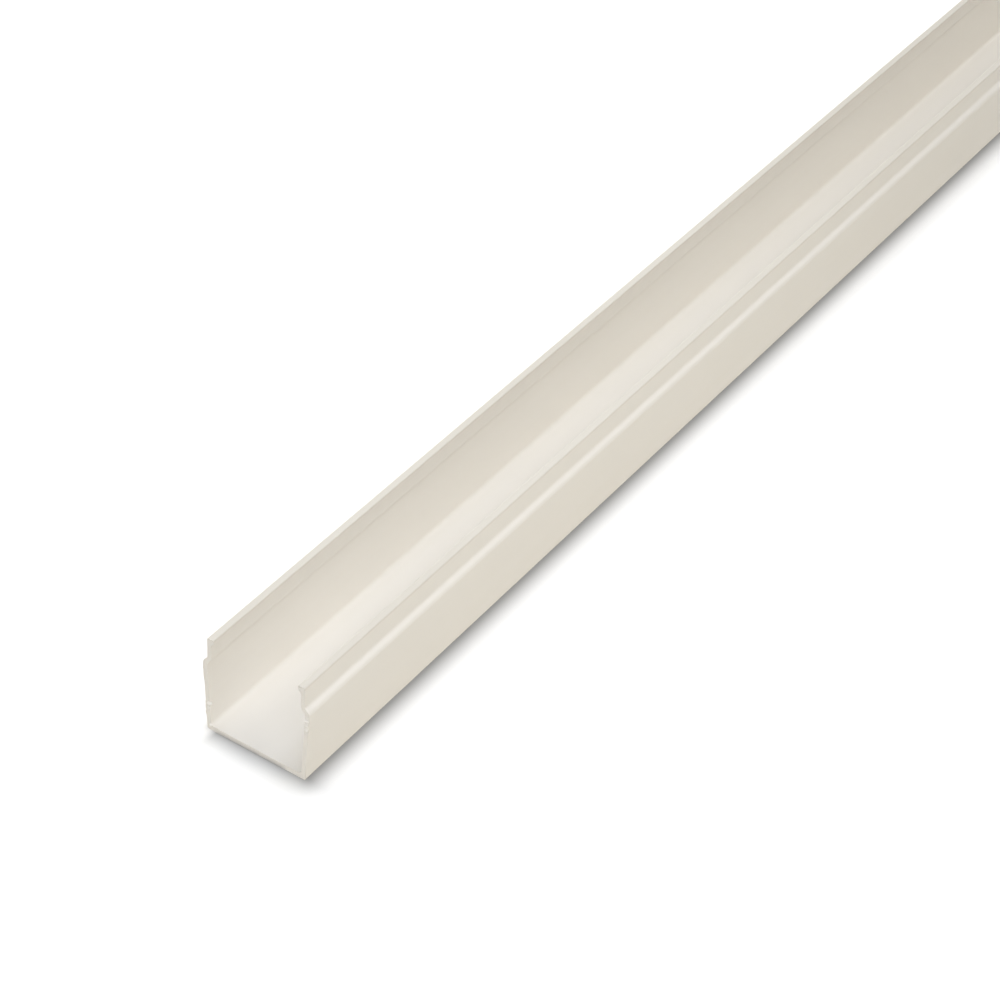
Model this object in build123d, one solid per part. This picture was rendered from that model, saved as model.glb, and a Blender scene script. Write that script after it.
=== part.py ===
from build123d import *

import os
from math import hypot, radians, tan

# Base channel of a cable raceway that a clip-on cover closes: one straight PVC extrusion, in millimetres.
# It lies on its floor, open side up. +X runs along the length, +Y across and +Z up.
# The origin is on the underside, at the middle of the length and of the width.

# Overall size
LENGTH = 1000.0
BASE_WIDTH = 40.0
HEIGHT = 40.0

# Floor and walls
FLOOR_THICKNESS = 1.9
WALL_THICKNESS = 1.6
WALL_FLARE_DEG = 2.8
FLOOR_FILLET = 1.6
UNDERSIDE_EDGE_RADIUS = 0.3

# Rolled shoulder and the ledge above it, on which the cover's skirt stops
SHOULDER_HEIGHT = 29.5
SHOULDER_RADIUS = 2.6
INNER_SHOULDER_RADIUS = 1.8
LEDGE_RUN = 1.85
LEDGE_SLOPE_DEG = 44.0

# Recessed neck that the cover goes over
NECK_THICKNESS = 1.5
NECK_LEAN_IN_DEG = 0.2
NECK_ROOT_RADIUS = 1.7

# Bead along the top of the neck, standing inwards, that the cover's hooks catch
BEAD_REACH = 1.2
BEAD_HEIGHT = 1.6
BEAD_OUTER_RADIUS = 0.5
BEAD_INNER_RADIUS = 0.4
BEAD_ROOT_RADIUS = 0.6


# Each straight face of the section is held as (foot, slope): its y at z = 0, and how far y grows for each unit of z.


def leaning_face(point, lean_deg):
    """Straight face through a point (y, z), leaning outwards by an angle from upright."""
    slope = tan(radians(lean_deg))
    return (point[0] - slope * point[1], slope)


def inset(face, thickness):
    """The face that lies one wall thickness further in."""
    foot, slope = face
    return (foot - thickness * hypot(1.0, slope), slope)


def at_height(face, height):
    """Point (y, z) of a face at a height."""
    foot, slope = face
    return (foot + slope * height, height)


def corner(lower_face, upper_face):
    """Point (y, z) where two faces would meet before the corner is rounded."""
    height = (upper_face[0] - lower_face[0]) / (lower_face[1] - upper_face[1])
    return at_height(lower_face, height)


def half_section():
    """Corners of the +Y half, from the underside round the wall to the floor's top, each with its radius."""
    wall_outer = leaning_face((BASE_WIDTH / 2, 0.0), WALL_FLARE_DEG)
    wall_inner = inset(wall_outer, WALL_THICKNESS)

    shoulder = at_height(wall_outer, SHOULDER_HEIGHT)
    ledge_outer = leaning_face(shoulder, -LEDGE_SLOPE_DEG)
    ledge_inner = inset(ledge_outer, WALL_THICKNESS)

    ledge_rise = LEDGE_RUN / tan(radians(LEDGE_SLOPE_DEG))
    neck_root = at_height(ledge_outer, SHOULDER_HEIGHT + ledge_rise)
    neck_outer = leaning_face(neck_root, -NECK_LEAN_IN_DEG)
    neck_inner = inset(neck_outer, NECK_THICKNESS)

    bead_bottom = HEIGHT - BEAD_HEIGHT
    bead_tip = at_height(neck_inner, HEIGHT)[0] - BEAD_REACH
    bead_root = at_height(neck_inner, bead_bottom - BEAD_REACH)

    return [
        (at_height(wall_outer, 0.0), UNDERSIDE_EDGE_RADIUS),
        (shoulder, SHOULDER_RADIUS),
        (neck_root, NECK_ROOT_RADIUS),
        (at_height(neck_outer, HEIGHT), BEAD_OUTER_RADIUS),
        ((bead_tip, HEIGHT), BEAD_INNER_RADIUS),
        ((bead_tip, bead_bottom), BEAD_INNER_RADIUS),
        (bead_root, BEAD_ROOT_RADIUS),
        (corner(ledge_inner, neck_inner), NECK_ROOT_RADIUS + WALL_THICKNESS),
        (corner(wall_inner, ledge_inner), INNER_SHOULDER_RADIUS),
        (at_height(wall_inner, FLOOR_THICKNESS), FLOOR_FILLET),
    ]


def channel():
    """The whole extrusion, centred on the middle of its length."""
    right_side = half_section()
    left_side = [((-point[0], point[1]), radius) for point, radius in reversed(right_side)]
    outline = right_side + left_side
    corners = [point for point, radius in outline]
    radii = [radius for point, radius in outline]
    with BuildPart() as extrusion:
        with BuildSketch(Plane.YZ):
            with BuildLine():
                FilletPolyline(*corners, radius=radii, close=True)
            make_face()
        extrude(amount=LENGTH / 2, both=True)
    return extrusion.part


os.makedirs("parts", exist_ok=True)
raceway_channel = channel()
export_step(raceway_channel, "parts/raceway_channel.step")
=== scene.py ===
"""Dressed scene of a raceway base channel: PVC finish, sawn ends, floor, light and camera."""

from __future__ import annotations

import logging
import math
import random
from dataclasses import dataclass
from enum import Enum
from typing import Any, Union

import bmesh
import bpy
from mathutils import Matrix, Vector


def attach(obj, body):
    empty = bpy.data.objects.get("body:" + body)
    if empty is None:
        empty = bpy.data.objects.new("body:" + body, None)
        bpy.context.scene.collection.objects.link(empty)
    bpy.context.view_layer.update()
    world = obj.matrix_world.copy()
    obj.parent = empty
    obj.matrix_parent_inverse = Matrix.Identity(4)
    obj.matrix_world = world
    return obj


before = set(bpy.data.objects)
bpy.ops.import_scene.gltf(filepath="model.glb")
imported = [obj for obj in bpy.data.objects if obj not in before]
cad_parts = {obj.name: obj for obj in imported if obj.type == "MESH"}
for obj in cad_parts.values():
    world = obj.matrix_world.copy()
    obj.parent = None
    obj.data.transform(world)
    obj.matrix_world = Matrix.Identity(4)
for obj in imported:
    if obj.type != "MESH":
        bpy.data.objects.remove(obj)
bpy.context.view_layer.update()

LOG = logging.getLogger("raceway")

CHANNEL_NODE = "raceway_channel"
BODY = "root"

MILLIMETRE = 0.001
PVC_IOR = 1.53
NOISE_MEAN = 0.5
WHITE = (1.0, 1.0, 1.0)

Colour = tuple[float, float, float]
Triple = tuple[float, float, float]


# Shader maths


class MathsOp(Enum):
    """Operations of a Math node that the finishes use."""

    ADD = "ADD"
    SUBTRACT = "SUBTRACT"
    MULTIPLY = "MULTIPLY"
    DIVIDE = "DIVIDE"
    POWER = "POWER"
    ABSOLUTE = "ABSOLUTE"
    MAXIMUM = "MAXIMUM"
    MINIMUM = "MINIMUM"
    EXPONENT = "EXPONENT"


Operand = Union["Socket", float]


class Socket:
    """Output of a shader node, on which shader maths is written as plain expressions."""

    def __init__(self, graph: ShaderGraph, output: bpy.types.NodeSocket) -> None:
        """Wraps one output.

        Args:
            graph: The graph that the output belongs to, which gets the new Math nodes.
            output: The node's output socket.
        """
        self.graph = graph
        self.output = output

    def __add__(self, other: Operand) -> Socket:
        """Sum of two values."""
        return self.graph.maths(MathsOp.ADD, self, other)

    def __radd__(self, other: Operand) -> Socket:
        """Sum with a plain number on the left."""
        return self.graph.maths(MathsOp.ADD, other, self)

    def __sub__(self, other: Operand) -> Socket:
        """Difference of two values."""
        return self.graph.maths(MathsOp.SUBTRACT, self, other)

    def __rsub__(self, other: Operand) -> Socket:
        """Difference with a plain number on the left."""
        return self.graph.maths(MathsOp.SUBTRACT, other, self)

    def __mul__(self, other: Operand) -> Socket:
        """Product of two values."""
        return self.graph.maths(MathsOp.MULTIPLY, self, other)

    def __rmul__(self, other: Operand) -> Socket:
        """Product with a plain number on the left."""
        return self.graph.maths(MathsOp.MULTIPLY, other, self)

    def __truediv__(self, other: Operand) -> Socket:
        """Quotient of two values."""
        return self.graph.maths(MathsOp.DIVIDE, self, other)

    def __pow__(self, other: Operand) -> Socket:
        """One value to the power of another."""
        return self.graph.maths(MathsOp.POWER, self, other)

    def __abs__(self) -> Socket:
        """Value without its sign."""
        return self.graph.maths(MathsOp.ABSOLUTE, self, 0.0)

    def clamped(self) -> Socket:
        """Value held between 0 and 1."""
        return self.graph.maths(MathsOp.ADD, self, 0.0, clamp=True)


class ShaderGraph:
    """Node tree of one material or of the world, with the few calls that fill it."""

    def __init__(self, tree: bpy.types.NodeTree) -> None:
        """Empties a node tree and keeps it.

        Args:
            tree: The tree to fill.
        """
        self.tree = tree
        self.tree.nodes.clear()

    def node(
        self,
        kind: str,
        settings: dict[str, Any] | None = None,
        values: dict[str | int, Any] | None = None,
        output: str | int = 0,
    ) -> Socket:
        """Adds any node.

        Args:
            kind: The node's type name.
            settings: Properties of the node, set first.
            values: Plain values or links for its inputs, by name or index.
            output: The output that the caller goes on with.

        Returns:
            The wrapped output, or the first input of a node that has no outputs.
        """
        made = self.tree.nodes.new(kind)
        for name, setting in (settings or {}).items():
            setattr(made, name, setting)
        for name, value in (values or {}).items():
            self._feed(made.inputs[name], value)
        return Socket(self, made.outputs[output]) if len(made.outputs) else Socket(self, made.inputs[0])

    def maths(self, operation: MathsOp, first: Operand, second: Operand, clamp: bool = False) -> Socket:
        """Adds one Math node.

        Args:
            operation: What the node does.
            first: Its first value.
            second: Its second value.
            clamp: Whether the result is held between 0 and 1.

        Returns:
            The node's result.
        """
        settings = {"operation": operation.value, "use_clamp": clamp}
        return self.node("ShaderNodeMath", settings, {0: first, 1: second})

    def blend(self, share: Operand, first: Any, second: Any) -> Socket:
        """Mixes two colours.

        Args:
            share: How much of the second colour shows, 0 to 1.
            first: Colour or link.
            second: Colour or link.

        Returns:
            The mixed colour.
        """
        return self.node("ShaderNodeMix", {"data_type": "RGBA"}, {0: share, 6: first, 7: second}, output=2)

    def scaled(self, place: Socket, scale: Triple) -> Socket:
        """Place in space with each axis scaled, to stretch a pattern.

        Args:
            place: The coordinates to scale.
            scale: Factor along each axis.

        Returns:
            The scaled coordinates.
        """
        return self.node("ShaderNodeMapping", values={"Vector": place, "Scale": scale})

    def noise(self, place: Socket, detail: float) -> Socket:
        """Soft noise of unit scale, which runs from 0 to 1 about a mean of a half.

        Args:
            place: Coordinates, already scaled to the size of the pattern.
            detail: Number of finer layers.

        Returns:
            The noise value.
        """
        values = {"Vector": place, "Scale": 1.0, "Detail": detail, "Roughness": 0.5}
        return self.node("ShaderNodeTexNoise", {"noise_dimensions": "3D"}, values)

    def grey(self, level: Socket) -> Socket:
        """Neutral colour of a given level."""
        return self.node("ShaderNodeCombineColor", values={0: level, 1: level, 2: level})

    def beyond(self, value: Operand, limit: Operand) -> Socket:
        """How far a value lies above a limit, 0 below it."""
        return self.maths(MathsOp.MAXIMUM, self.maths(MathsOp.SUBTRACT, value, limit), 0.0)

    def camera_rays(self) -> Socket:
        """1 for the rays that come straight from the camera."""
        return self.node("ShaderNodeLightPath", output="Is Camera Ray")

    def seen_rays(self) -> Socket:
        """1 for the rays that show the backdrop: straight from the camera, mirrored or refracted."""
        mirrored = self.node("ShaderNodeLightPath", output="Is Glossy Ray")
        refracted = self.node("ShaderNodeLightPath", output="Is Transmission Ray")
        return (self.camera_rays() + mirrored + refracted).clamped()

    def _feed(self, target: bpy.types.NodeSocket, value: Any) -> None:
        """Links a wrapped output to an input, or sets the input's own value.

        Args:
            target: The input.
            value: Wrapped output, number, or colour or vector as a tuple.
        """
        if isinstance(value, Socket):
            self.tree.links.new(value.output, target)
        elif target.type == "RGBA":
            target.default_value = (*value[:3], 1.0)
        else:
            target.default_value = value


# Finishes


@dataclass(frozen=True)
class ExtrudedPvc:
    """Off-white rigid PVC as it leaves the die: satin and faintly drawn along its length.

    It is chalky where it is sawn, and painted shade darkens the walls' tops and the foot of the floor's
    cut.
    Lengths are in metres, and scales are noise cells per metre along each axis.
    """

    shade: Colour = (0.900, 0.874, 0.828)
    warm_shade: Colour = (0.886, 0.854, 0.798)
    mean_warmth: float = 0.35
    cloud_warmth: float = 0.9
    streak_warmth: float = 0.5

    sawn_shade: Colour = (0.897, 0.866, 0.812)
    sawn_share: float = 0.8
    sawn_depth: float = 0.00008
    sawn_fade: float = 0.00005
    half_length: float = 0.5

    # Painted shade: a darker colour along the walls' tops, so they read no brighter than the floor inside
    painted_top_shade: Colour = (0.684, 0.643, 0.578)
    painted_top_share: float = 0.55
    painted_top_patches: float = 0.4
    painted_top_from: float = 0.0389
    painted_top_steepness: float = 1100.0

    # Painted shade: the floor's cut faces darken towards their foot, where they meet the floor
    painted_foot_shade: Colour = (0.590, 0.570, 0.535)
    painted_foot_height: float = 0.0018
    painted_foot_middle: float = 0.0022
    painted_foot_reach: float = 0.0155
    painted_foot_fade: float = 0.003

    roughness: float = 0.46
    sawn_roughness: float = 0.80
    streak_roughness: float = 0.14
    grain_roughness: float = 0.06

    streak_scale: Triple = (1.6, 420.0, 420.0)
    line_scale: Triple = (4.0, 2600.0, 2600.0)
    cloud_scale: Triple = (7.0, 45.0, 45.0)
    grain_scale: Triple = (5200.0, 5200.0, 5200.0)
    tooth_scale: Triple = (300.0, 160.0, 1500.0)

    line_relief: float = 0.10
    streak_relief: float = 0.45
    grain_relief: float = 0.035
    tooth_relief: float = 1.6
    bump_strength: float = 0.5
    bump_distance: float = 0.00012

    def build(self) -> bpy.types.Material:
        """Makes the material.

        Returns:
            The material, on Object coordinates.
        """
        material = bpy.data.materials.new("extruded_pvc")
        material.use_nodes = True
        graph = ShaderGraph(material.node_tree)
        place = graph.node("ShaderNodeTexCoord", output="Object")

        cut = self._sawn_mask(graph, place)
        streaks = graph.noise(graph.scaled(place, self.streak_scale), detail=3.0)
        lines = graph.noise(graph.scaled(place, self.line_scale), detail=2.0)
        cloud = graph.noise(graph.scaled(place, self.cloud_scale), detail=2.0)
        grain = graph.noise(graph.scaled(place, self.grain_scale), detail=1.0)
        teeth = graph.noise(graph.scaled(place, self.tooth_scale), detail=2.0)

        warmth = (cloud - NOISE_MEAN) * self.cloud_warmth + (streaks - NOISE_MEAN) * self.streak_warmth
        colour = graph.blend((warmth + self.mean_warmth).clamped(), self.shade, self.warm_shade)
        # Painted shade along the walls' tops, made patchy by the cloud noise
        painted_top = self._painted_top_mask(graph, place) * (cloud * self.painted_top_patches + self.painted_top_share)
        colour = graph.blend(painted_top, colour, self.painted_top_shade)
        colour = graph.blend(cut * self.sawn_share, colour, self.sawn_shade)
        # Painted shade at the foot of the floor's cut faces
        colour = graph.blend(cut * self._painted_foot_mask(graph, place), colour, self.painted_foot_shade)

        roughness = self.roughness + (streaks - NOISE_MEAN) * self.streak_roughness
        roughness = roughness + (grain - NOISE_MEAN) * self.grain_roughness
        roughness = roughness + cut * (self.sawn_roughness - self.roughness)

        height = lines * self.line_relief + streaks * self.streak_relief + grain * self.grain_relief
        height = height + teeth * cut * self.tooth_relief
        bump = {"Strength": self.bump_strength, "Distance": self.bump_distance, "Height": height}
        normal = graph.node("ShaderNodeBump", values=bump)

        surface = graph.node(
            "ShaderNodeBsdfPrincipled",
            values={"Base Color": colour, "Roughness": roughness, "IOR": PVC_IOR, "Normal": normal},
        )
        graph.node("ShaderNodeOutputMaterial", values={"Surface": surface})
        return material

    def _sawn_mask(self, graph: ShaderGraph, place: Socket) -> Socket:
        """Mask of the two cut faces.

        Args:
            graph: The material's graph.
            place: Object coordinates.

        Returns:
            1 on the cut faces, 0 on the rest.
        """
        along = graph.node("ShaderNodeSeparateXYZ", values={"Vector": place}, output="X")
        return ((abs(along) - (self.half_length - self.sawn_depth)) / self.sawn_fade).clamped()

    def _painted_top_mask(self, graph: ShaderGraph, place: Socket) -> Socket:
        """Mask of the painted shade on the walls' top edges.

        Args:
            graph: The material's graph.
            place: Object coordinates.

        Returns:
            1 on the tops, 0 from a millimetre below them.
        """
        height = graph.node("ShaderNodeSeparateXYZ", values={"Vector": place}, output="Z")
        return ((height - self.painted_top_from) * self.painted_top_steepness).clamped()

    def _painted_foot_mask(self, graph: ShaderGraph, place: Socket) -> Socket:
        """Mask of the painted shade on the floor's cut faces, strongest at their foot.

        Args:
            graph: The material's graph.
            place: Object coordinates.

        Returns:
            1 at the underside, 0 at the floor's top and towards the walls.
        """
        across = graph.node("ShaderNodeSeparateXYZ", values={"Vector": place}, output="Y")
        height = graph.node("ShaderNodeSeparateXYZ", values={"Vector": place}, output="Z")
        low = (1.0 - height / self.painted_foot_height).clamped()
        return low * ((self.painted_foot_reach - abs(across - self.painted_foot_middle)) / self.painted_foot_fade).clamped()


@dataclass(frozen=True)
class TornPvc:
    """PVC that the saw tore instead of cutting: dull and crumbly, its colour paler than the channel's as
    painted light.
    """

    # Painted light: paler than the channel's PVC so that the torn bits read brightly lit
    shade: Colour = (0.955, 0.932, 0.886)
    bruised_shade: Colour = (0.880, 0.845, 0.780)
    bruised_from: float = 0.48
    bruised_steepness: float = 2.2
    roughness: float = 0.82
    crumb_roughness: float = 0.2
    crumb_scale: Triple = (2600.0, 2600.0, 2600.0)
    patch_scale: Triple = (700.0, 700.0, 700.0)
    bump_strength: float = 0.4
    bump_distance: float = 0.00004

    def build(self) -> bpy.types.Material:
        """Makes the material.

        Returns:
            The material, on Object coordinates.
        """
        material = bpy.data.materials.new("torn_pvc")
        material.use_nodes = True
        graph = ShaderGraph(material.node_tree)
        place = graph.node("ShaderNodeTexCoord", output="Object")
        crumbs = graph.noise(graph.scaled(place, self.crumb_scale), detail=3.0)
        patches = graph.noise(graph.scaled(place, self.patch_scale), detail=1.0)
        bruised = ((patches - self.bruised_from) * self.bruised_steepness).clamped()
        colour = graph.blend(bruised, self.shade, self.bruised_shade)
        roughness = self.roughness + (crumbs - NOISE_MEAN) * self.crumb_roughness
        bump = {"Strength": self.bump_strength, "Distance": self.bump_distance, "Height": crumbs}
        normal = graph.node("ShaderNodeBump", values=bump)
        surface = graph.node(
            "ShaderNodeBsdfPrincipled",
            values={"Base Color": colour, "Roughness": roughness, "IOR": PVC_IOR, "Normal": normal},
        )
        graph.node("ShaderNodeOutputMaterial", values={"Surface": surface})
        return material


@dataclass(frozen=True)
class PaleFloor:
    """White studio floor that keeps the shadow and bounces a plain amount of light.

    The camera and mirrored rays see it lifted by a glow, which reaches plain white far from the channel.
    """

    bounce: Colour = (0.690, 0.643, 0.540)
    shown: float = 0.80
    near_glow: float = 0.46
    white_from: float = 1.3
    contact_depth: float = 0.738
    contact_reach: float = 0.00661
    contact_falloff: float = 0.645
    near_corner: tuple[float, float] = (-0.49846, -0.02024)
    far_corner: tuple[float, float] = (0.49846, 0.0159)
    back_steepness: float = 2.6
    back_from: float = -0.455
    back_narrowing: float = 130.0
    back_inset: float = 0.008

    def build(self) -> bpy.types.Material:
        """Makes the material.

        Returns:
            A diffuse white, lifted where it is seen so that the open floor is white.
        """
        material = bpy.data.materials.new("pale_floor")
        material.use_nodes = True
        graph = ShaderGraph(material.node_tree)
        place = graph.node("ShaderNodeTexCoord", output="Object")
        along = graph.node("ShaderNodeSeparateXYZ", values={"Vector": place}, output="X")
        across = graph.node("ShaderNodeSeparateXYZ", values={"Vector": place}, output="Y")
        # Painted contact shadow, seen by the camera only
        tone = 1.0 - self._contact_shade(graph, along, across) * graph.camera_rays()
        plain = graph.node("ShaderNodeBsdfDiffuse", values={"Color": self.bounce})
        lifted = graph.node(
            "ShaderNodeBsdfPrincipled",
            values={
                "Base Color": graph.grey(tone * self.shown),
                "Roughness": 1.0,
                "Specular IOR Level": 0.0,
                "Emission Color": graph.grey(tone * self._glow(graph, along, across)),
                "Emission Strength": 1.0,
            },
        )
        mixed = graph.node("ShaderNodeMixShader", values={0: graph.seen_rays(), 1: plain, 2: lifted})
        graph.node("ShaderNodeOutputMaterial", values={"Surface": mixed})
        return material

    def _glow(self, graph: ShaderGraph, along: Socket, across: Socket) -> Socket:
        """Light that is seen on the floor besides what the lamps give it.

        Args:
            graph: The material's graph.
            along: Place along the channel.
            across: Place across it.

        Returns:
            The near glow beside the channel, rising to 1 far from it.
        """
        past_end = graph.beyond(abs(along), -self.near_corner[0])
        away = ((past_end * past_end + across * across) ** 0.5 / self.white_from).clamped()
        return self.near_glow + (1.0 - self.near_glow) * away

    def _contact_shade(self, graph: ShaderGraph, along: Socket, across: Socket) -> Socket:
        """Painted shadow on the floor where the channel rests on it, which only the camera sees.

        Args:
            graph: The material's graph.
            along: Place along the channel.
            across: Place across it.

        Returns:
            0 on the open floor, more towards the channel's footprint.
        """
        past_far = graph.beyond(along, self.far_corner[0])
        past_end = graph.beyond(self.near_corner[0], along) + past_far
        past_side = graph.beyond(self.near_corner[1], across)
        past_side = past_side + graph.beyond(across, self.far_corner[1]) * self.back_steepness
        front = past_end * past_end + past_side * past_side
        past_end = graph.beyond(self.near_corner[0] + self.back_inset, along) + past_far
        past_side = graph.beyond(abs(across), -self.near_corner[1])
        past_side = past_side * (1.0 + self.back_narrowing * graph.beyond(self.back_from, along))
        back = past_end * past_end + past_side * past_side
        gap = graph.maths(MathsOp.MINIMUM, front, back) / self.contact_reach**2
        return self.contact_depth * graph.maths(MathsOp.EXPONENT, 0.0 - gap**self.contact_falloff, 0.0)


# Pieces


@dataclass
class Channel:
    """The extruded channel itself, whose CAD mesh stays and takes the PVC finish."""

    node: str = CHANNEL_NODE
    finish: ExtrudedPvc = ExtrudedPvc()

    def dress(self) -> bpy.types.Object:
        """Gives the CAD node its material.

        Returns:
            The CAD object.
        """
        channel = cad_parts[self.node]
        material = self.finish.build()
        if not channel.material_slots:
            channel.data.materials.append(material)
        for held in channel.material_slots:
            held.material = material
        return channel


@dataclass(frozen=True)
class Ridge:
    """Ridge that the saw tore up across a wall's cut face, in millimetres.

    The faces are y of the wall's two sides there, and the crest is its z.
    """

    faces: tuple[float, float]
    crest: float
    reach: float
    rise: float


@dataclass(frozen=True)
class Shaving:
    """Sliver that still hangs on the cut by its root, in millimetres and degrees.

    The root is y and z of the middle of its foot, and the turn is that of its foot in the cut plane.
    """

    root: tuple[float, float]
    width: float
    length: float
    curl: float
    turn: float


@dataclass(frozen=True)
class Fringe:
    """Ragged burr along an edge of the cut, in millimetres.

    The path is y and z along the edge, and outward is the way in which the burr grows from it.
    """

    path: tuple[tuple[float, float], ...]
    outward: tuple[float, float]
    reach: float


@dataclass
class SawnEnd:
    """What the saw left on one end: torn ridges, hanging shavings and ragged burrs.

    Lengths are in millimetres, and the shares are parts of a bit's own size. The bits are modelled at the
    near end and turned round for the far one.
    """

    name: str
    seed: int
    turned: bool
    ridges: list[Ridge]
    shavings: list[Shaving]
    fringes: list[Fringe]
    cut_at: float = -500.0
    rooted: float = 0.12
    cuts: int = 5
    ridge_foot: tuple[float, float] = (-0.40, 0.60)
    ridge_crest: float = -0.15
    crest_slip: tuple[float, float] = (-0.20, 0.25)
    crest_wave: float = 0.12
    shaving_strands: tuple[float, ...] = (-1.0, -0.3, 0.4, 1.0)
    shaving_steps: int = 7
    shaving_thickness: float = 0.14
    tip_narrowing: float = 0.75
    narrowing_power: float = 1.5
    side_waver: float = 0.08
    curl_waver: float = 0.05
    fringe_lift: float = 0.02
    fringe_tears: tuple[float, float] = (0.05, 1.0)
    fringe_lean: tuple[float, float] = (-0.22, 0.05)
    fringe_thickness: float = 0.08
    finish: TornPvc = TornPvc()

    def build(self) -> bpy.types.Object:
        """Models the torn bits of this end and fixes them to the channel.

        Returns:
            One object with all of them.
        """
        dice = random.Random(self.seed)
        mesh = bpy.data.meshes.new(self.name)
        shape = bmesh.new()
        for bit in (*self.ridges, *self.shavings, *self.fringes):
            torn_bit = self._tear(bit, dice)
            torn_bit.to_mesh(mesh)
            torn_bit.free()
            shape.from_mesh(mesh)
        bmesh.ops.scale(shape, vec=(MILLIMETRE, MILLIMETRE, MILLIMETRE), verts=shape.verts)
        if self.turned:
            half_turn = Matrix.Rotation(math.pi, 3, "Z")
            bmesh.ops.rotate(shape, cent=(0.0, 0.0, 0.0), matrix=half_turn, verts=shape.verts)
        bmesh.ops.recalc_face_normals(shape, faces=shape.faces)
        for face in shape.faces:
            face.smooth = False
        shape.to_mesh(mesh)
        shape.free()
        mesh.materials.append(self.finish.build())
        torn = bpy.data.objects.new(self.name, mesh)
        bpy.context.scene.collection.objects.link(torn)
        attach(torn, BODY)
        return torn

    def _tear(self, bit: Ridge | Shaving | Fringe, dice: random.Random) -> bmesh.types.BMesh:
        """Models one torn bit in a mesh of its own.

        Args:
            bit: Its place and size.
            dice: Source of the unevenness.

        Returns:
            The bit, in millimetres at the near end.
        """
        shape = bmesh.new()
        if isinstance(bit, Ridge):
            self._tear_ridge(shape, bit, dice)
        elif isinstance(bit, Shaving):
            self._curl_shaving(shape, bit, dice)
        else:
            self._fray_fringe(shape, bit, dice)
        return shape

    def _tear_ridge(self, shape: bmesh.types.BMesh, ridge: Ridge, dice: random.Random) -> None:
        """Adds a wedge across the wall, with an uneven crest.

        Args:
            shape: The mesh to add to.
            ridge: Its place and size.
            dice: Source of the unevenness.
        """
        first, last = ridge.faces
        under, above = self.ridge_foot
        outline = ((self.rooted, under), (-ridge.reach, self.ridge_crest), (self.rooted, above))
        places = [(self.cut_at + out, first, ridge.crest + share * ridge.rise) for out, share in outline]
        start = shape.faces.new([shape.verts.new(place) for place in places])
        swept = bmesh.ops.extrude_face_region(shape, geom=[start], use_keep_orig=True)["geom"]
        ahead = [item for item in swept if isinstance(item, bmesh.types.BMVert)]
        bmesh.ops.translate(shape, vec=(0.0, last - first, 0.0), verts=ahead)
        along = [edge for vert in ahead for edge in vert.link_edges if edge.other_vert(vert) not in ahead]
        bmesh.ops.subdivide_edges(shape, edges=along, cuts=self.cuts)
        for vert in shape.verts:
            if vert.co.x < self.cut_at:
                vert.co.x += ridge.reach * dice.uniform(*self.crest_slip)
                vert.co.z += ridge.rise * dice.uniform(-self.crest_wave, self.crest_wave)

    def _curl_shaving(self, shape: bmesh.types.BMesh, shaving: Shaving, dice: random.Random) -> None:
        """Adds a thin strip that curls away from the cut and narrows to its tip.

        Args:
            shape: The mesh to add to.
            shaving: Its place and size.
            dice: Source of the unevenness.
        """
        places = [(side * shaving.width / 2, -self.rooted, 0.0) for side in self.shaving_strands]
        foot = [shape.verts.new(place) for place in places]
        strands = [shape.edges.new(pair) for pair in zip(foot, foot[1:])]
        angle = math.radians(shaving.curl)
        bmesh.ops.spin(
            shape,
            geom=[*foot, *strands],
            cent=(0.0, -self.rooted, shaving.length / angle),
            axis=(1.0, 0.0, 0.0),
            angle=angle,
            steps=self.shaving_steps,
            use_merge=False,
        )
        for vert in shape.verts:
            gone = min(1.0, math.hypot(vert.co.y + self.rooted, vert.co.z) / shaving.length)
            vert.co.x *= 1.0 - self.tip_narrowing * gone**self.narrowing_power
            vert.co.x += shaving.width * gone * dice.uniform(-self.side_waver, self.side_waver)
            vert.co.z += shaving.length * gone * dice.uniform(-self.curl_waver, self.curl_waver)
        bmesh.ops.solidify(shape, geom=shape.faces[:], thickness=self.shaving_thickness)
        turn = math.radians(shaving.turn)
        across = Vector((0.0, math.cos(turn), math.sin(turn)))
        out = Vector((-1.0, 0.0, 0.0))
        lie = Matrix((across, out, across.cross(out))).transposed()
        bmesh.ops.rotate(shape, cent=(0.0, 0.0, 0.0), matrix=lie, verts=shape.verts)
        bmesh.ops.translate(shape, vec=(self.cut_at, *shaving.root), verts=shape.verts)

    def _fray_fringe(self, shape: bmesh.types.BMesh, fringe: Fringe, dice: random.Random) -> None:
        """Adds a thin lip along an edge of the cut, torn off unevenly.

        Args:
            shape: The mesh to add to.
            fringe: Its place and size.
            dice: Source of the unevenness.
        """
        away = Vector((0.0, *fringe.outward)).normalized()
        places = [Vector((self.cut_at - self.fringe_lift, *point)) for point in fringe.path]
        line = [shape.verts.new(place - away * self.rooted) for place in places]
        edges = [shape.edges.new(pair) for pair in zip(line, line[1:])]
        bmesh.ops.subdivide_edges(shape, edges=edges, cuts=self.cuts)
        swept = bmesh.ops.extrude_edge_only(shape, edges=shape.edges[:])["geom"]
        tips = [item for item in swept if isinstance(item, bmesh.types.BMVert)]
        for tip in sorted(tips, key=lambda vert: vert.co.z):
            tip.co += away * (self.rooted + fringe.reach * dice.uniform(*self.fringe_tears))
            tip.co.x += dice.uniform(*self.fringe_lean)
        faces = [item for item in swept if isinstance(item, bmesh.types.BMFace)]
        bmesh.ops.solidify(shape, geom=faces, thickness=self.fringe_thickness)


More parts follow.
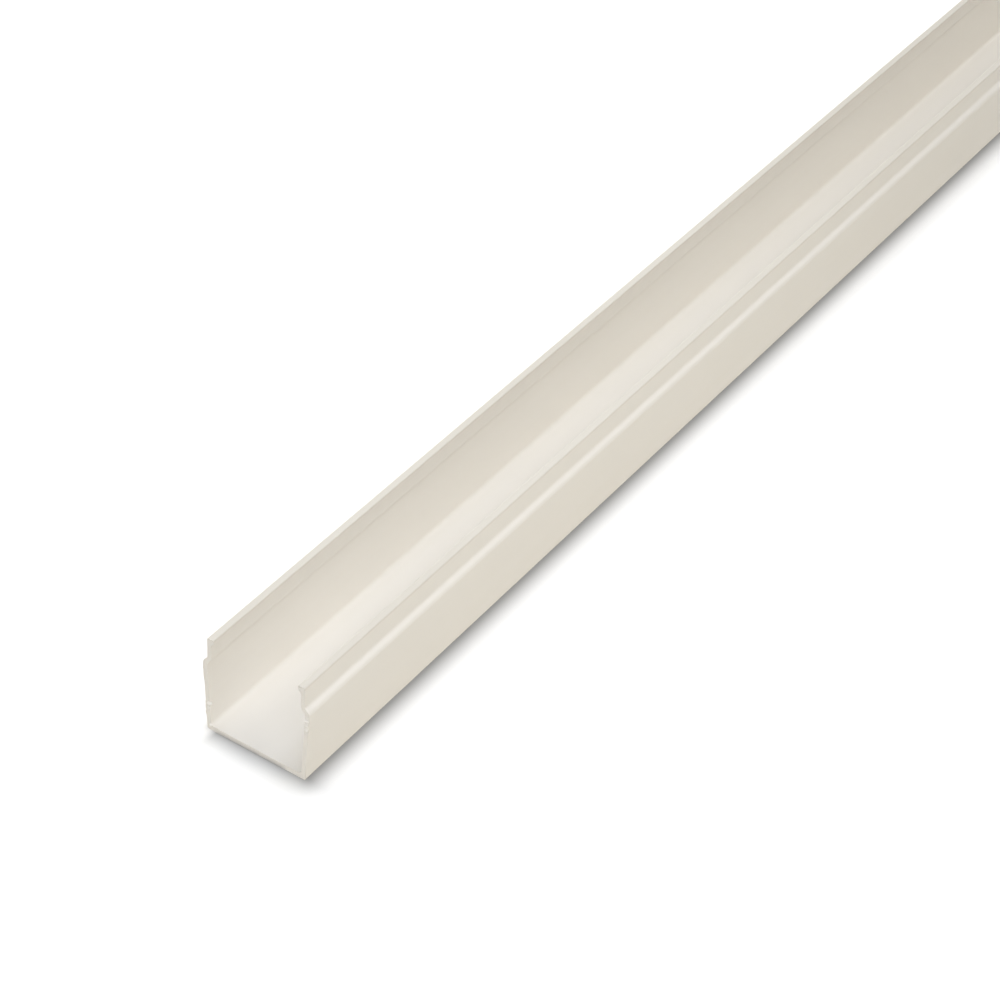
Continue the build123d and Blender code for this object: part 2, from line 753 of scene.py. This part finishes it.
def sawn_ends() -> list[SawnEnd]:
    """The two cut ends, the near one with the tears that the photograph shows.

    Returns:
        The ends, not built yet.
    """
    # Left and right are those of someone who faces the cut
    leftward = (1.0, 0.0)
    rightward = (-1.0, 0.0)
    shown = SawnEnd(
        name="sawn_end_near",
        seed=11,
        turned=False,
        ridges=[
            Ridge((-19.78, -21.44), 26.8, 0.60, 0.70),
            Ridge((-19.72, -21.38), 25.1, 0.95, 0.75),
            Ridge((-19.65, -21.30), 23.0, 0.90, 0.75),
            Ridge((17.85, 19.70), 11.9, 0.80, 0.80),
        ],
        shavings=[
            Shaving((19.2, 9.8), 1.4, 0.6, 55.0, 190.0),
            Shaving((18.3, 2.6), 1.4, 0.8, 60.0, 198.0),
            Shaving((-17.3, 38.9), 1.0, 0.5, 80.0, 170.0),
        ],
        fringes=[
            Fringe(
                path=((20.60, 20.6), (21.04, 22.0), (21.18, 24.0), (21.30, 26.8), (21.10, 28.7)),
                outward=leftward,
                reach=0.15,
            ),
            Fringe(((-21.10, 21.0), (-21.22, 24.0), (-21.32, 27.2)), outward=rightward, reach=0.22),
            Fringe(((20.30, 6.0), (20.45, 9.0), (20.60, 12.0)), outward=leftward, reach=0.18),
        ],
    )
    unseen = SawnEnd(
        name="sawn_end_far",
        seed=29,
        turned=True,
        ridges=[
            Ridge((-19.42, -21.03), 19.6, 0.40, 1.3),
            Ridge((-19.34, -20.94), 17.7, 0.46, 1.4),
        ],
        shavings=[
            Shaving((18.7, 14.8), 1.6, 0.8, 60.0, 12.0),
            Shaving((-18.2, 2.4), 1.4, 0.8, 65.0, 150.0),
            Shaving((17.2, 38.9), 1.0, 0.5, 80.0, 188.0),
        ],
        fringes=[
            Fringe(
                path=((20.50, 10.0), (20.68, 14.0), (20.86, 18.0), (21.05, 22.0)),
                outward=leftward,
                reach=0.36,
            ),
        ],
    )
    return [shown, unseen]


# Studio


@dataclass
class StudioFloor:
    """Wide flat floor under the channel."""

    half_side: float = 8.0
    finish: PaleFloor = PaleFloor()

    def build(self) -> bpy.types.Object:
        """Makes the floor.

        Returns:
            The floor object.
        """
        mesh = bpy.data.meshes.new("studio_floor")
        grid = bmesh.new()
        bmesh.ops.create_grid(grid, x_segments=1, y_segments=1, size=self.half_side)
        grid.to_mesh(mesh)
        grid.free()
        floor = bpy.data.objects.new("studio_floor", mesh)
        mesh.materials.append(self.finish.build())
        bpy.context.scene.collection.objects.link(floor)
        return floor


@dataclass
class SoftBox:
    """Rectangular soft lamp aimed at a point of the channel."""

    name: str
    place: Triple
    aim: Triple
    size: tuple[float, float]
    power: float
    tint: Colour = WHITE
    spread_deg: float = 180.0

    def build(self) -> bpy.types.Object:
        """Makes the lamp.

        Returns:
            The lamp object.
        """
        lamp = bpy.data.lights.new(self.name, "AREA")
        lamp.shape = "RECTANGLE"
        lamp.size, lamp.size_y = self.size
        lamp.energy = self.power
        lamp.spread = math.radians(self.spread_deg)
        lamp.color = self.tint
        held = bpy.data.objects.new(self.name, lamp)
        held.location = self.place
        held.rotation_mode = "QUATERNION"
        held.rotation_quaternion = (Vector(self.aim) - Vector(self.place)).to_track_quat("-Z", "Y")
        held.visible_camera = False
        bpy.context.scene.collection.objects.link(held)
        return held


@dataclass
class SkyDome:
    """Even light from all round, seen as plain white behind the floor."""

    strength: float = 0.20
    backdrop: float = 1.0

    def build(self) -> bpy.types.World:
        """Makes the world.

        Returns:
            The world, in use by the scene.
        """
        world = bpy.data.worlds.new("sky_dome")
        world.use_nodes = True
        graph = ShaderGraph(world.node_tree)
        light = graph.node("ShaderNodeBackground", values={"Color": WHITE, "Strength": self.strength})
        behind = graph.node("ShaderNodeBackground", values={"Color": WHITE, "Strength": self.backdrop})
        mixed = graph.node("ShaderNodeMixShader", values={0: graph.seen_rays(), 1: light, 2: behind})
        graph.node("ShaderNodeOutputWorld", values={"Surface": mixed})
        bpy.context.scene.world = world
        return world


@dataclass
class PhotoCamera:
    """Camera at the photograph's viewing angle, found by fitting the channel's edges."""

    place: Triple = (-1.01911, -0.40870, 0.64862)
    forward: Triple = (0.65845, 0.40847, -0.63213)
    roll_deg: float = -3.829
    lens_mm: float = 101.8
    sensor_mm: float = 36.0
    clip: tuple[float, float] = (0.05, 50.0)

    def build(self) -> bpy.types.Object:
        """Makes the camera and hands it to the scene.

        Returns:
            The camera object.
        """
        lens = bpy.data.cameras.new("photo_camera")
        lens.lens = self.lens_mm
        lens.sensor_width = self.sensor_mm
        lens.clip_start, lens.clip_end = self.clip
        camera = bpy.data.objects.new("photo_camera", lens)
        ahead = Vector(self.forward).normalized()
        level = ahead.cross(Vector((0.0, 0.0, 1.0))).normalized()
        roll = math.radians(self.roll_deg)
        up = level.cross(ahead) * math.cos(roll) + level * math.sin(roll)
        right = ahead.cross(up)
        turn = Matrix((right, up, -ahead)).transposed().to_4x4()
        camera.matrix_world = Matrix.Translation(self.place) @ turn
        bpy.context.scene.collection.objects.link(camera)
        bpy.context.scene.camera = camera
        return camera


@dataclass
class Studio:
    """Floor, lights and camera round the channel."""

    floor: StudioFloor
    dome: SkyDome
    lamps: list[SoftBox]
    camera: PhotoCamera

    def build(self) -> None:
        """Makes everything that isn't the object."""
        bpy.context.scene.view_settings.view_transform = "Standard"
        self.floor.build()
        self.dome.build()
        for lamp in self.lamps:
            lamp.build()
        self.camera.build()


def studio() -> Studio:
    """The studio with its settings for this channel.

    Returns:
        The studio, not built yet.
    """
    under_overhead = (-0.33, 0.0, 0.02)
    under_slant = (-0.36, 0.0, 0.02)
    near_half = (-0.28, 0.0, 0.02)
    far_half = (0.53, 0.0, 0.02)
    middle = (0.05, 0.0, 0.02)
    far_part = (0.40, 0.0, 0.02)
    small = (0.3, 0.3)
    wide = (0.6, 0.6)
    return Studio(
        floor=StudioFloor(),
        dome=SkyDome(),
        lamps=[
            SoftBox("overhead", (-0.33, -0.05, 0.70), under_overhead, small, 1.43, (0.94, 1.0, 1.09)),
            SoftBox("slant_box", (-0.36, -0.45, 0.55), under_slant, small, 0.43, (1.05, 1.0, 0.87)),
            SoftBox("side_overhead", (-0.28, -0.498, 0.887), near_half, wide, 1.44, (1.06, 1.0, 0.87)),
            SoftBox("back_overhead", (-0.28, 0.498, 0.887), near_half, wide, 1.41, (1.04, 1.0, 0.85)),
            SoftBox("side_box", (-0.390, -1.044, 0.350), near_half, wide, 0.73, (1.06, 1.0, 0.88)),
            SoftBox("front_box", (-1.60, -0.281, 0.26), near_half, wide, 4.34, (0.99, 1.0, 1.02)),
            SoftBox("camera_box", (-1.072, -0.492, 0.776), near_half, wide, 1.66, (0.98, 1.0, 1.11)),
            SoftBox("far_slant", (0.60, -0.50, 0.32), far_half, small, 0.24, spread_deg=80.0),
            SoftBox("far_top", (0.52, -0.06, 0.62), far_half, small, 0.24, spread_deg=80.0),
            SoftBox("far_end", (1.10, -0.10, 0.36), far_half, (0.4, 0.4), 0.80, spread_deg=110.0),
            SoftBox("back_box", (0.05, 1.10, 0.42), middle, (0.8, 0.8), 4.00, (1.03, 1.0, 0.93)),
            SoftBox("back_far", (0.45, 0.80, 0.38), far_part, wide, 1.10, (1.03, 1.0, 0.93)),
        ],
        camera=PhotoCamera(),
    )


def main() -> None:
    """Builds and dresses the channel, then the studio round it."""
    logging.basicConfig(level=logging.INFO, format="%(message)s")
    channel = Channel().dress()
    LOG.info("%s: %d faces", channel.name, len(channel.data.polygons))
    for end in sawn_ends():
        torn = end.build()
        LOG.info("%s: %d faces", torn.name, len(torn.data.polygons))
    studio().build()


if __name__ == "__main__":
    main()
